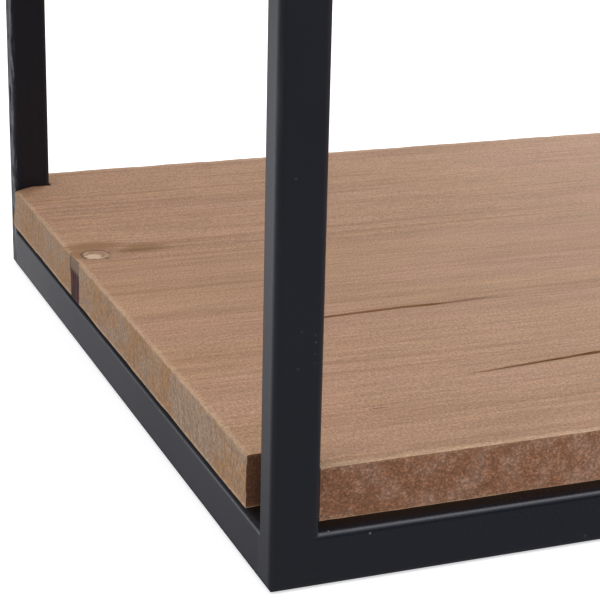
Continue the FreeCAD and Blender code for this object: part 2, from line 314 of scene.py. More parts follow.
def face_material(plank):
    t = Tree(plank.name + "_face", specular=0.22)
    g = grain(t, plank)
    side = t.math("ADD", g["tone"], t.math("MULTIPLY_ADD", g["blot"], 0.5, -0.25))
    c = t.mix(t.step(side, 0.32, 0.68), TAN, PINK)
    c = t.mix(t.math("MULTIPLY", g["late"], 0.34), c, (0.190, 0.094, 0.048))
    c = t.mix(t.step(g["streak"], 0.46, 0.70, 0.0, 0.38), c, (0.225, 0.112, 0.055))
    c = t.mix(t.step(g["fibre"], 0.30, 0.52, 0.75, 0.0), c, (1.0, 0.935, 0.85), "MULTIPLY")
    # strongly streaked in places, nearly plain in others
    strong = t.step(g["calm"], 0.36, 0.64, 0.12, 0.50)
    value = t.math("MULTIPLY_ADD", t.math("SUBTRACT", g["fibre"], 0.5), strong, 1.0)
    value = t.math("MULTIPLY", value, t.math("MULTIPLY_ADD", g["dash"], 0.44, 0.78))
    value = t.math("MULTIPLY", value, t.math("MULTIPLY_ADD", g["speck"], 1.55, 0.225))
    value = t.math("MULTIPLY", value, t.math("MULTIPLY_ADD", g["blot"], 0.30, 0.85))
    pores = t.step(g["dash"], 0.62, 0.74)
    value = t.math("MULTIPLY", value, t.math("MULTIPLY_ADD", pores, -0.03, 1.0))
    value = t.math("MULTIPLY", value, joint_lines(t, g, plank, 0.45, 0.16))
    # paler along the outer arrises: partly handling wear, partly a painted highlight
    c = t.mix(t.math("MULTIPLY", arris_wear_and_highlight(t, g, plank, True), 0.58), c, PALE_ARRIS_HIGHLIGHT)
    c = t.scale(c, t.math("MULTIPLY", value, plank.tone))
    rough = t.math("MULTIPLY_ADD", g["fibre"], 0.20, 0.56)
    high = t.math("ADD", t.math("MULTIPLY", g["late"], 0.4), t.math("MULTIPLY", g["fibre"], 0.3))
    high = t.math("ADD", high, t.math("ADD", t.math("MULTIPLY", g["speck"], 0.5), t.math("MULTIPLY", pores, -0.25)))
    # darker brown along each check
    for check in plank.checks:
        c = t.mix(t.math("MULTIPLY", darker_along_check(t, g, check), 0.65), c, (0.150, 0.066, 0.026))
    for k in plank.knots:
        d, dx, dy = knot_distance(t, k, g["x"], g["y"], g["z"], plank)
        halo = t.step(d, 0.9, 2.4, 1.0, 0.0)
        for sx, sy, ra, rb in k.get("stains", ()):  # stain that trails off to one side
            ex = t.math("DIVIDE", t.math("SUBTRACT", g["x"], sx), ra)
            ey = t.math("DIVIDE", t.math("SUBTRACT", g["y"], sy), rb)
            e = t.math("SQRT", t.math("ADD", t.math("MULTIPLY", ex, ex), t.math("MULTIPLY", ey, ey)))
            e = t.math("ADD", e, t.math("MULTIPLY_ADD", g["fibre"], 0.7, -0.35))
            halo = t.math("MAXIMUM", halo if (sx, sy, ra, rb) != k["stains"][0] else 0.0, t.step(e, 0.35, 1.15, 1.0, 0.0))
        c = t.mix(t.math("MULTIPLY", halo, 0.78), c, (0.205, 0.100, 0.034))
        rings = t.math("SINE", t.math("MULTIPLY", d, 15.0))
        heart = t.mix(t.math("MULTIPLY_ADD", rings, 0.5, 0.5), k["heart"], k["heart2"])
        heart = t.scale(heart, t.math("MULTIPLY_ADD", g["speck"], 0.6, 0.70))
        if "cream" in k:             # pale torn patch in the heart
            hx, hy, ra, rb = k["cream"]
            ex = t.math("DIVIDE", t.math("SUBTRACT", g["x"], hx), ra)
            ey = t.math("DIVIDE", t.math("SUBTRACT", g["y"], hy), rb)
            e = t.math("SQRT", t.math("ADD", t.math("MULTIPLY", ex, ex), t.math("MULTIPLY", ey, ey)))
            e = t.math("ADD", e, t.math("MULTIPLY_ADD", t.noise(t.mm, (2.6, 2.6, 5.0), shift=(2.0, 2.0, 0.0), detail=2), 1.6, -0.8))
            heart = t.mix(t.step(e, 0.55, 1.0, 1.0, 0.0), heart, (0.50, 0.365, 0.245))
        c = t.mix(t.step(d, 0.84, 0.98, 1.0, 0.0), c, heart)
        rim = t.math("MULTIPLY", t.step(d, 0.84, 0.95), t.step(d, 0.98, 1.10, 1.0, 0.0))
        gaps = t.step(t.noise(t.mm, (4.6, 4.6, 9.0), detail=1), 0.36, 0.58, 0.15, 0.85)
        gaps = t.math("MAXIMUM", gaps, t.step(dx, -0.80, -0.35, 1.0, 0.0))
        c = t.mix(t.math("MULTIPLY", t.math("MULTIPLY", rim, gaps), k["rim"]), c, (0.060, 0.026, 0.011))
        high = t.math("SUBTRACT", high, t.math("MULTIPLY", rim, 0.8))
        if "streak" in k:            # a dark line that runs on from the knot along the grain
            x0, y0, x1, y1, wide, dark = k["streak"]
            along = t.lin(g["x"], x0, x1, 0.0, 1.0)
            centre = t.math("MULTIPLY_ADD", along, y1 - y0, y0)
            centre = t.math("ADD", centre, t.math("MULTIPLY_ADD", t.noise1(g["x"], 1 / 14.0), 1.6, -0.8))
            off = t.math("ABSOLUTE", t.math("SUBTRACT", g["y"], centre))
            line = t.step(off, 0.0, wide, 1.0, 0.0)
            fade = t.math("POWER", t.math("SUBTRACT", 1.0, along), 1.8)
            fade = t.math("MULTIPLY", fade, t.step(g["x"], x0 - 4, x0 + 4))
            fade = t.math("MULTIPLY", fade, t.step(g["dash"], 0.30, 0.62, 0.55, 1.0))
            c = t.mix(t.math("MULTIPLY", t.math("MULTIPLY", line, fade), dark), c, (0.118, 0.047, 0.011))
    t.shade(Base_Color=c, Roughness=rough, Normal=t.bump(high, 0.00035, 0.55))
    return t.mat


def edge_material(plank):
    t = Tree(plank.name + "_edge", specular=0.16)
    g = grain(t, plank)
    qx, qy, qz = t.split(g["q"])
    slant = t.join(t.math("ADD", qx, qz), qy, t.math("SUBTRACT", qx, qz))
    patch = t.noise(slant, (14, 9, 12), detail=2, rough=0.45)
    small = t.noise(g["q"], (2.4, 2.2, 2.2), detail=2, rough=0.6)
    fuzz = t.noise(g["q"], (0.95, 0.75, 0.80), shift=(5.0, 2.0, 6.0), detail=2, rough=0.65)
    mottle = t.math("ADD", patch, t.math("MULTIPLY_ADD", small, 0.5, -0.25))
    mottle = t.math("ADD", mottle, t.step(t.math("ABSOLUTE", g["x"]), 200.0, 390.0, 0.06, -0.08))
    # painted shade: the long edges are coloured darker than the top partly to stand for the shade the front edges lie
    # in
    c = t.mix(t.step(mottle, 0.34, 0.66), RUST, MAUVE)
    c = t.mix(t.math("MULTIPLY", g["late"], 0.12), c, (0.120, 0.052, 0.026))
    value = t.math("ADD", t.math("MULTIPLY_ADD", fuzz, 0.90, 0.34), t.step(fuzz, 0.46, 0.72, 0.0, 0.42))
    value = t.math("MULTIPLY", value, t.math("MULTIPLY_ADD", small, 0.60, 0.70))
    value = t.math("MULTIPLY", value, t.math("MULTIPLY_ADD", patch, 0.60, 0.70))
    # the long edges are darker towards their ends
    value = t.math("MULTIPLY", value, t.step(t.math("ABSOLUTE", g["x"]), 250.0, 390.0, 1.08, 0.87))
    pits = t.step(t.noise(g["q"], (1.4, 1.1, 1.1), shift=(7.0, 3.0, 1.0), detail=1), 0.62, 0.74)
    value = t.math("MULTIPLY", value, t.math("MULTIPLY_ADD", pits, -0.22, 1.0))
    # lighter near the upper and lower arrises: partly wear, partly a painted highlight
    c = t.mix(t.math("MULTIPLY", arris_wear_and_highlight(t, g, plank, False), 0.25), c, TAN)
    c = t.scale(c, t.math("MULTIPLY", value, plank.tone))
    high = t.math("ADD", t.math("MULTIPLY", fuzz, 0.8), t.math("MULTIPLY", small, 0.6))
    high = t.math("SUBTRACT", high, t.math("MULTIPLY", pits, 0.5))
    t.shade(Base_Color=c, Roughness=t.math("MULTIPLY_ADD", small, 0.2, 0.66), Normal=t.bump(high, 0.0006, 0.55))
    return t.mat


def notch_material(plank):
    """Saw cuts behind the uprights, with painted shade: near black where the uprights shade them, lighter towards the
    open outer end.
    """
    t = Tree(plank.name + "_notch", specular=0.1)
    g = grain(t, plank)
    kerf = t.noise(g["q"], (9, 9, 0.7), detail=2)
    # painted shade: the notch faces lie in the shade of the uprights
    c = t.mix(t.step(g["blot"], 0.35, 0.65), (0.050, 0.020, 0.0105), (0.078, 0.034, 0.019))
    value = t.math("MULTIPLY", t.math("MULTIPLY_ADD", g["speck"], 1.6, 0.2), t.math("MULTIPLY_ADD", kerf, 0.6, 0.7))
    # painted light: lighter towards the open outer end, which the uprights shade less
    outer = t.step(t.math("ABSOLUTE", g["x"]), 394.5, 401.0)
    outer = t.math("MULTIPLY", outer, t.step(g["blot"], 0.30, 0.70, 0.3, 1.0))
    c = t.mix(t.math("MULTIPLY", outer, 0.55), c, (0.120, 0.054, 0.028))
    # lighter near the upper and lower arrises: partly wear, partly a painted highlight
    c = t.mix(t.math("MULTIPLY", arris_wear_and_highlight(t, g, plank, False), 0.35), c, RUST)
    c = t.scale(c, t.math("MULTIPLY", value, plank.tone))
    t.shade(Base_Color=c, Roughness=t.math("MULTIPLY_ADD", g["speck"], 0.2, 0.68), Normal=t.bump(kerf, 0.0004, 0.5))
    return t.mat


def end_material(plank):
    t = Tree(plank.name + "_end", specular=0.18)
    g = grain(t, plank)
    patch = t.noise(g["q"], (30, 16, 9), detail=2)
    small = t.noise(g["q"], (9, 3.4, 2.6), detail=2)
    hue = t.math("ADD", patch, t.math("MULTIPLY_ADD", small, 0.5, -0.25))
    if plank.ash is not None:        # a greyer stretch round this y
        away = t.math("ABSOLUTE", t.math("SUBTRACT", g["y"], plank.ash))
        hue = t.math("SUBTRACT", hue, t.step(away, 5.0, 38.0, 0.16, 0.0))
    c = t.mix(t.step(hue, 0.32, 0.68), ASH, HONEY)
    c = t.mix(t.math("MULTIPLY", g["late"], 0.48), c, (0.190, 0.110, 0.068))
    value = t.math("MULTIPLY_ADD", g["speck"], 1.60, 0.20)
    value = t.math("MULTIPLY", value, t.math("MULTIPLY_ADD", small, 0.44, 0.78))
    upright = t.noise(g["q"], (14, 0.9, 9.0), detail=2)
    value = t.math("MULTIPLY", value, t.math("MULTIPLY_ADD", upright, 0.28, 0.87))
    pits = t.step(t.noise(g["q"], (2.0, 1.2, 1.6), shift=(2.0, 9.0, 4.0), detail=1), 0.64, 0.76)
    value = t.math("MULTIPLY", value, t.math("MULTIPLY_ADD", pits, -0.26, 1.0))
    value = t.math("MULTIPLY", value, joint_lines(t, g, plank, 0.55, 0.5))
    # paler near the upper and lower arrises: partly wear, partly a painted highlight
    c = t.mix(t.math("MULTIPLY", arris_wear_and_highlight(t, g, plank, False), 0.45), c, PALE_ARRIS_HIGHLIGHT)
    c = t.scale(c, t.math("MULTIPLY", value, plank.tone))
    high = t.math("ADD", t.math("MULTIPLY", g["speck"], 0.6), t.math("MULTIPLY", upright, 0.5))
    for k in plank.knots:
        if "band" not in k:
            continue
        # the same knot cut through at the left end: a dark band over the full thickness, browner at its top
        ya, yb, zb = k["band"]
        waver = t.math("MULTIPLY_ADD", t.noise1(g["z"], 0.25), 1.0, -0.5)
        yy = t.math("ADD", g["y"], waver)
        inside = t.math("MULTIPLY", t.step(yy, ya - 0.3, ya + 0.3), t.step(yy, yb - 0.6, yb + 0.3, 1.0, 0.0))
        inside = t.math("MULTIPLY", inside, t.step(g["x"], -10.0, 10.0, 1.0, 0.0))
        bands = t.noise(t.join(0.0, g["y"], g["z"]), (1.0, 2.0, 15.0), shift=(0.0, 0.35, 0.0), detail=1)
        heart = t.mix(t.step(bands, 0.42, 0.58), (0.082, 0.029, 0.027), (0.028, 0.009, 0.010))
        heart = t.mix(t.step(g["z"], zb - 1.2, zb + 1.4, 0.0, 0.9), heart, (0.178, 0.118, 0.084))
        heart = t.scale(heart, t.math("MULTIPLY_ADD", g["speck"], 0.8, 0.6))
        c = t.mix(inside, c, heart)
        off = t.math("ABSOLUTE", t.math("SUBTRACT", yy, yb))
        line = t.math("MULTIPLY", t.step(off, 0.25, 0.75, 1.0, 0.0), t.step(g["z"], zb - 5.0, zb))
        line = t.math("MULTIPLY", line, t.step(g["x"], -10.0, 10.0, 1.0, 0.0))
        c = t.mix(t.math("MULTIPLY", line, 0.9), c, (0.012, 0.008, 0.007))
        high = t.math("SUBTRACT", high, t.math("MULTIPLY", line, 1.5))
    t.shade(Base_Color=c, Roughness=t.math("MULTIPLY_ADD", small, 0.2, 0.62), Normal=t.bump(high, 0.0005, 0.5))
    return t.mat


def eased_material(plank):
    t = Tree(plank.name + "_eased", specular=0.22)
    g = grain(t, plank)
    patch = t.noise(g["q"], (16, 7, 7), detail=3, rough=0.6)
    # painted highlight: the eased arrises are paler, partly as sanded wood, partly for the light they catch
    c = t.mix(t.step(patch, 0.28, 0.62), PALE_ARRIS_HIGHLIGHT, TAN)
    c = t.mix(t.math("MULTIPLY", g["late"], 0.25), c, (0.240, 0.125, 0.065))
    for k in plank.knots:            # broken and dark where a knot comes out at the end
        if "band" in k:
            ya, yb, _ = k["band"]
            over = t.math("MULTIPLY", t.step(g["y"], ya - 1.0, ya + 2.0), t.step(g["y"], yb - 1.0, yb + 1.5, 1.0, 0.0))
            over = t.math("MULTIPLY", over, t.step(g["x"], -10.0, 10.0, 1.0, 0.0))
            c = t.mix(t.math("MULTIPLY", over, 0.85), c, (0.170, 0.098, 0.060))
    value = t.math("MULTIPLY", t.math("MULTIPLY_ADD", g["speck"], 0.5, 0.75), t.math("MULTIPLY_ADD", g["dash"], 0.3, 0.85))
    c = t.scale(c, t.math("MULTIPLY", value, plank.tone))
    t.shade(Base_Color=c, Roughness=t.math("MULTIPLY_ADD", patch, 0.2, 0.5), Normal=t.bump(g["speck"], 0.0003, 0.5))
    return t.mat


def check_material():
    t = Tree("fir_check", specular=0.1)
    torn = t.noise(t.mm, (14, 0.8, 0.8), detail=3)
    c = t.mix(t.step(torn, 0.35, 0.70), (0.135, 0.058, 0.021), (0.215, 0.100, 0.040))
    t.shade(Base_Color=c, Roughness=t.math("MULTIPLY_ADD", torn, 0.2, 0.68), Normal=t.bump(torn, 0.0004, 0.6))
    return t.mat


CHECK = check_material()


# --- the planks -------------------------------------------------------------
def check_line(points, wide, deep, faint=None):
    """A drying check: its line (x, y), half its width and its depth, in millimetres.

    faint is the x from which it almost closes, where it does."""
    return {"line": points, "wide": wide, "deep": deep, "faint": faint}


def check_at(check, x):
    """(y, half width, depth) of a check at x, all in millimetres."""
    line = check["line"]
    if x <= line[0][0]:
        return line[0][1], 0.0, 0.0
    if x >= line[-1][0]:
        return line[-1][1], 0.0, 0.0
    for (xa, ya), (xb, yb) in zip(line, line[1:]):
        if xa <= x <= xb:
            s = (x - xa) / (xb - xa)
            y = ya + (yb - ya) * s
            break
    share = (x - line[0][0]) / (line[-1][0] - line[0][0])
    swell = math.sin(math.pi * share) ** 0.6
    swell *= 0.75 + 0.5 * perlin.noise(Vector((x / 9.0, y / 7.0, 3.0)))
    if check["faint"] is not None:
        swell *= 1.0 - 0.62 * min(1.0, max(0.0, (x - check["faint"]) / 6.0))
    return y, check["wide"] * swell, check["deep"] * swell


def near_ones(lo, hi, pitch):
    """Evenly spaced lines from lo to hi, about pitch apart."""
    n = max(1, round((hi - lo) / pitch))
    return [lo + (hi - lo) * i / n for i in range(n + 1)]


def plank_mesh(plank):
    level0 = LEVELS[plank.level - 1]
    lo, hi = level0 + BOARD_LO, level0 + BOARD_HI
    y0, y1 = plank.y0, plank.y1
    at_front, at_back = plank.part == "front", plank.part == "back"
    pitch = 0.0036 if plank.level == 1 else 0.007
    end = [NOTCH_X] + near_ones(NOTCH_X, BOARD_X - 0.0014, 0.0034)[1:] + [BOARD_X]
    xs = [-x for x in end[:0:-1]] + near_ones(-NOTCH_X, NOTCH_X, pitch) + end[1:]
    # lines across the plank: a notch line where it has one, then bands that follow the checks
    stops = [y0, y1]
    if at_front:
        stops += [NOTCH_F, NOTCH_F + 0.0014]
    if at_back:
        stops += [NOTCH_B, NOTCH_B - 0.0014]
    stops.sort()
    ys = []
    for a, b in zip(stops, stops[1:]):
        ys += near_ones(a, b, 0.0095)[:-1]
    ys.append(stops[-1])
    tags = {y: None for y in ys}     # y of a line -> (check, offset in mm) where it follows one
    for c in plank.checks:
        home = sum(p[1] for p in c["line"]) / len(c["line"]) / 1000
        for y in list(tags):
            if abs(y - home) < 0.0042 and y not in stops:
                del tags[y]
        for i, o in enumerate((-2.2, -1.0, 0.0, 1.0, 2.2)):
            tags[home + o / 1000] = (c, i - 2)
    ys = sorted(tags)
    zs = near_ones(lo, hi, 0.0024)

    def inside(i, j):
        if not (0 <= i < len(xs) - 1 and 0 <= j < len(ys) - 1):
            return False
        x, y = (xs[i] + xs[i + 1]) / 2, (ys[j] + ys[j + 1]) / 2
        if abs(x) > NOTCH_X and (at_front and y < NOTCH_F or at_back and y > NOTCH_B):
            return False
        return True

    def place(i, j, k):
        x, y, z = xs[i], ys[j], zs[k]
        if k == len(zs) - 1:
            tag = tags[y]
            if tag:
                yc, wide, deep = check_at(tag[0], x * 1000)
                wide = max(wide, 0.28)
                y = (yc + {-2: -wide - 0.9, -1: -wide, 0: 0.0, 1: wide, 2: wide + 0.9}[tag[1]]) / 1000
                if tag[1] == 0:
                    z -= deep / 1000
                elif abs(tag[1]) == 1 and deep > 0:
                    z -= 0.00006
            else:
                for c in plank.checks:
                    home = sum(p[1] for p in c["line"]) / len(c["line"])
                    yc, _, _ = check_at(c, x * 1000)
                    fall = max(0.0, 1.0 - abs(y * 1000 - home) / 22.0)
                    if ys[j] not in stops:
                        y += (yc - home) / 1000 * fall
        return x, y, z

    bm = bmesh.new()
    made = {}

    def v(i, j, k):
        if (i, j, k) not in made:
            made[i, j, k] = bm.verts.new(place(i, j, k))
        return made[i, j, k]

    top = len(zs) - 1
    ease = set()
    joint_y = [y for y in (y0, y1) if not (y == y0 and at_front or y == y1 and at_back)]

    def is_joint(j_line, horizontal):
        return horizontal and ys[j_line] in joint_y

    for i in range(len(xs) - 1):
        for j in range(len(ys) - 1):
            if not inside(i, j):
                continue
            f = bm.faces.new((v(i, j, top), v(i + 1, j, top), v(i + 1, j + 1, top), v(i, j + 1, top)))
            f.material_index = 0
            ta, tb = tags[ys[j]], tags[ys[j + 1]]
            if ta and tb and ta[0] is tb[0] and {ta[1], tb[1]} in ({-1, 0}, {0, 1}):
                d = max(check_at(ta[0], xs[i] * 1000)[2], check_at(ta[0], xs[i + 1] * 1000)[2])
                if d > 0.12:
                    f.material_index = 4
            f = bm.faces.new((v(i, j, 0), v(i, j + 1, 0), v(i + 1, j + 1, 0), v(i + 1, j, 0)))
            f.material_index = 0
            for di, dj, a, b in ((0, -1, (i, j), (i + 1, j)), (1, 0, (i + 1, j), (i + 1, j + 1)),
                                 (0, 1, (i + 1, j + 1), (i, j + 1)), (-1, 0, (i, j + 1), (i, j))):
                if inside(i + di, j + dj):
                    continue
                joint = dj != 0 and is_joint(a[1], True)
                # notch faces take slot 5, the notch material with its painted shade
                sawn = dj and not joint and ys[a[1]] in (NOTCH_F, NOTCH_B)
                for k in range(top):
                    f = bm.faces.new((v(*a, k), v(*b, k), v(*b, k + 1), v(*a, k + 1)))
                    f.material_index = 5 if sawn else 1 if dj else 2
                if not joint:
                    ease.add((a, b))
    upper = [bm.edges.get((v(*a, top), v(*b, top))) for a, b in sorted(ease)]
    lower = [bm.edges.get((v(*a, 0), v(*b, 0))) for a, b in sorted(ease)]
    for edges, wide in ((upper, EASE), (lower, EASE_LOW)):
        bmesh.ops.bevel(bm, geom=edges, offset=wide, offset_type="OFFSET", segments=2,
                        profile=0.5, affect="EDGES", clamp_overlap=False, material=3, loop_slide=False)
    # sanding, sawing and wear: always inwards, and the same where two planks meet
    for vert in bm.verts:
        x, y, z = vert.co
        to_top, to_low = hi - z, z - lo
        near_top = max(0.0, 1.0 - to_top / 0.003)
        near_low = max(0.0, 1.0 - to_low / 0.003)
        roll = 0.5 + 0.5 * perlin.noise(Vector((x / 0.090, y / 0.038, 5.0 * plank.level)))
        vert.co.z += 0.00012 * roll * (near_low - near_top)
        for ax, gap, sign in ((0, BOARD_X - abs(x), -1 if x > 0 else 1), (1, y - BOARD_F, 1), (1, BOARD_B - y, -1)):
            if gap < 0.0016:
                along = y if ax == 0 else x
                wear = max(0.0, perlin.noise(Vector((along / 0.021, 11.0 * ax + sign, 7.0 * plank.level))) + 0.1)
                edge = max(0.0, 1.0 - gap / 0.0016)
                for near, down in ((near_top, -1), (near_low, 1)):
                    both = min(1.0, 1.4 * near) * min(1.0, 1.4 * edge)
                    vert.co[ax] += sign * 0.00030 * wear * both
                    vert.co.z += down * 0.00026 * wear * both
                    ragged = max(0.0, perlin.noise(Vector((along / 0.0075, 3.0 * ax + sign, 2.0 * plank.level + down))))
                    vert.co.z += down * 0.00030 * ragged * both
        for stop, into in ((NOTCH_F, 1), (NOTCH_B, -1)):
            if abs(y - stop) < 0.0002 and BOARD_X - abs(x) < 0.0002 and plank.part != "middle":
                chip = max(0.0, perlin.noise(Vector((z / 0.0042, x * 40.0, stop * 40.0))) + 0.25)
                vert.co.x -= math.copysign(0.0008 * chip, x)
                vert.co.y += 0.0007 * chip * into
        if plank.level == 1 and x < -0.380:
            # the left end leans back towards its worn back corner, and the saw left a lip below
            share = min(1.0, max(0.0, (y - 0.090) / (NOTCH_B - 0.090)))
            high = max(0.0, 1.0 - to_top / (hi - lo))
            vert.co.x += 0.0012 * share ** 1.5 * high * min(1.0, (-0.380 - x) / 0.012)
            gone = math.hypot((x + BOARD_X) / 0.0085, (y - NOTCH_B) / 0.0085)
            vert.co.z -= 0.0019 * max(0.0, 1.0 - gone) * max(0.0, 1.0 - to_top / 0.006)
            vert.co.z -= 0.0005 * near_low * max(0.0, 1.0 - (x + BOARD_X) / 0.006)
    bm.normal_update()
    mesh = bpy.data.meshes.new(f"shelf_{plank.level}_{plank.part}_board")
    bm.to_mesh(mesh)
    bm.free()
    mesh.polygons.foreach_set("use_smooth", [True] * len(mesh.polygons))
    mesh.set_sharp_from_angle(angle=math.radians(32))
    return mesh


def knot(x, y, rx, ry, lean=(0.0, 0.0), pale=False, **more):
    k = {"at": (x, y), "r": (rx, ry), "lean": lean, "rim": 0.85}
    k["heart"] = (0.340, 0.212, 0.126) if pale else (0.150, 0.066, 0.031)
    k["heart2"] = (0.235, 0.132, 0.073) if pale else (0.100, 0.042, 0.020)
    k.update(more)
    return k


def planks():
    made = []
    seen = {
        # the boards' own knots and checks, millimetres from the middle of the unit
        (1, "back"): dict(pith=(-240, -60), tilt=(0.004, 0.01), ring=5.6, tone=1.0, knots=[
            knot(-390.8, 53.4, 6.9, 7.3, lean=(-0.48, -0.22), pale=True, cream=(-392.9, 51.0, 5.2, 4.8),
                 stains=((-389.5, 66.5, 17.0, 9.5), (-367.5, 58.0, 13.0, 8.5), (-398.5, 55.0, 5.0, 9.0)),
                 streak=(-380.0, 55.6, -300.0, 54.6, 3.4, 1.0), band=(40.0, 58.2, 36.6))],
            checks=[check_line([(120, 118), (176, 120.5), (252, 121)], 0.5, 2.2)]),
        (1, "middle"): dict(pith=(210, -90), tilt=(-0.004, 0.02), ring=5.0, tone=0.985,
            checks=[check_line([(-342, -57.8), (-323, -57.2), (-304, -56.0), (-288, -55.2), (-270, -55.6), (-251, -54.4), (-238, -55.2)], 1.30, 1.0, faint=-273.0)]),
        (1, "front"): dict(pith=(160, -70), tilt=(0.003, 0.015), ring=5.6, tone=0.99, ash=-122.0,
            checks=[check_line([(-295, -134.4), (-287, -133.8), (-278.8, -132.7), (-259.4, -130.7), (-235.8, -128.2), (-204, -125.6), (-150, -122.8)], 1.25, 1.1),
                    check_line([(-346.5, -155.5), (-342, -155.5), (-338, -155.6)], 0.40, 0.2)],
            knots=[knot(214, -118, 8.5, 7.0, lean=(0.3, 0.1))]),
    }
    for level in (1, 2, 3, 4):
        ja, jb = JOINTS[level - 1]
        for part, y0, y1 in (("front", BOARD_F, ja), ("middle", ja, jb), ("back", jb, BOARD_B)):
            given = seen.get((level, part))
            if given is None:
                flat = rng.random() < 0.45
                pith = (rng.uniform(-30, 30) + (y0 + y1) * 500, rng.uniform(-75, -45)) if flat else (
                    rng.choice((-1, 1)) * rng.uniform(150, 260), rng.uniform(-110, -50))
                given = dict(pith=pith, tilt=(rng.uniform(-0.012, 0.012), rng.uniform(-0.03, 0.03)),
                             ring=rng.uniform(3.6, 5.4), tone=rng.uniform(0.93, 1.05), knots=[], checks=[])
                spots = [rng.uniform(-330, 330) for _ in range(rng.choice((0, 1, 1, 2)))]
                for x in spots:
                    rx = rng.uniform(5, 10)
                    given["knots"].append(knot(x, rng.uniform(y0 * 1000 + 24, y1 * 1000 - 24), rx, rx * rng.uniform(0.75, 1.0),
                                               lean=(rng.uniform(-0.5, 0.5), rng.uniform(-0.3, 0.3))))
                for _ in range(rng.choice((0, 1, 1))):
                    x = rng.choice((-1, 1)) * rng.uniform(120, 330)
                    y = rng.uniform(y0 * 1000 + 30, y1 * 1000 - 30)
                    if any(abs(y - k["at"][1]) < 16 for k in given["knots"]):
                        continue
                    half = rng.uniform(22, 52)
                    bend = rng.uniform(-2.0, 2.0)
                    given["checks"].append(check_line([(x - half, y - bend), (x, y), (x + half, y + bend * 0.6)],
                                                      rng.uniform(0.35, 0.6), rng.uniform(1.6, 2.8)))
            made.append(Plank(level, part, y0, y1, **given))
    return made


for plank in planks():
    node = f"shelf_{plank.level}_{plank.part}_plank"
    mesh = plank_mesh(plank)
    for m in (face_material(plank), edge_material(plank), end_material(plank), eased_material(plank), CHECK):
        mesh.materials.append(m)
    if plank.part != "middle":
        mesh.materials.append(notch_material(plank))
    board = bpy.data.objects.new(mesh.name, mesh)
    bpy.context.scene.collection.objects.link(board)
    weighted = board.modifiers.new("weighted normals", "WEIGHTED_NORMAL")
    weighted.keep_sharp = True
    weighted.weight = 60
    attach(board, f"shelf_{plank.level}")
    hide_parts(node)


# ----------------------------------------------------------------------------
# satin black coat on the steel
# ----------------------------------------------------------------------------
def nearest_edge(t, v, lines):
    """Distance in millimetres from v to the nearest of some values."""
    d = None
    for line in lines:
        e = t.math("ABSOLUTE", t.math("SUBTRACT", v, line))
        d = e if d is None else t.math("MINIMUM", d, e)
    return d


# single grains of dust and nicks in the coat: where, how big (mm), how strong
DUST = {
    "x": (((-378.6, -199.4, 19.6), 0.45, 0.6), ((-363.9, -201.0, 17.4), 0.60, 0.26), ((-362.9, -201.0, 18.9), 0.35, 0.2)),
    "z": (((-385.6, -201.0, 91.0), 0.40, 0.10), ((-385.4, -201.0, 88.5), 0.45, 0.14), ((-385.6, -201.0, 84.5), 0.40, 0.09),
          ((-385.5, -201.0, 81.5), 0.40, 0.07), ((-391.4, -201.0, 80.0), 0.60, 0.06)),
}


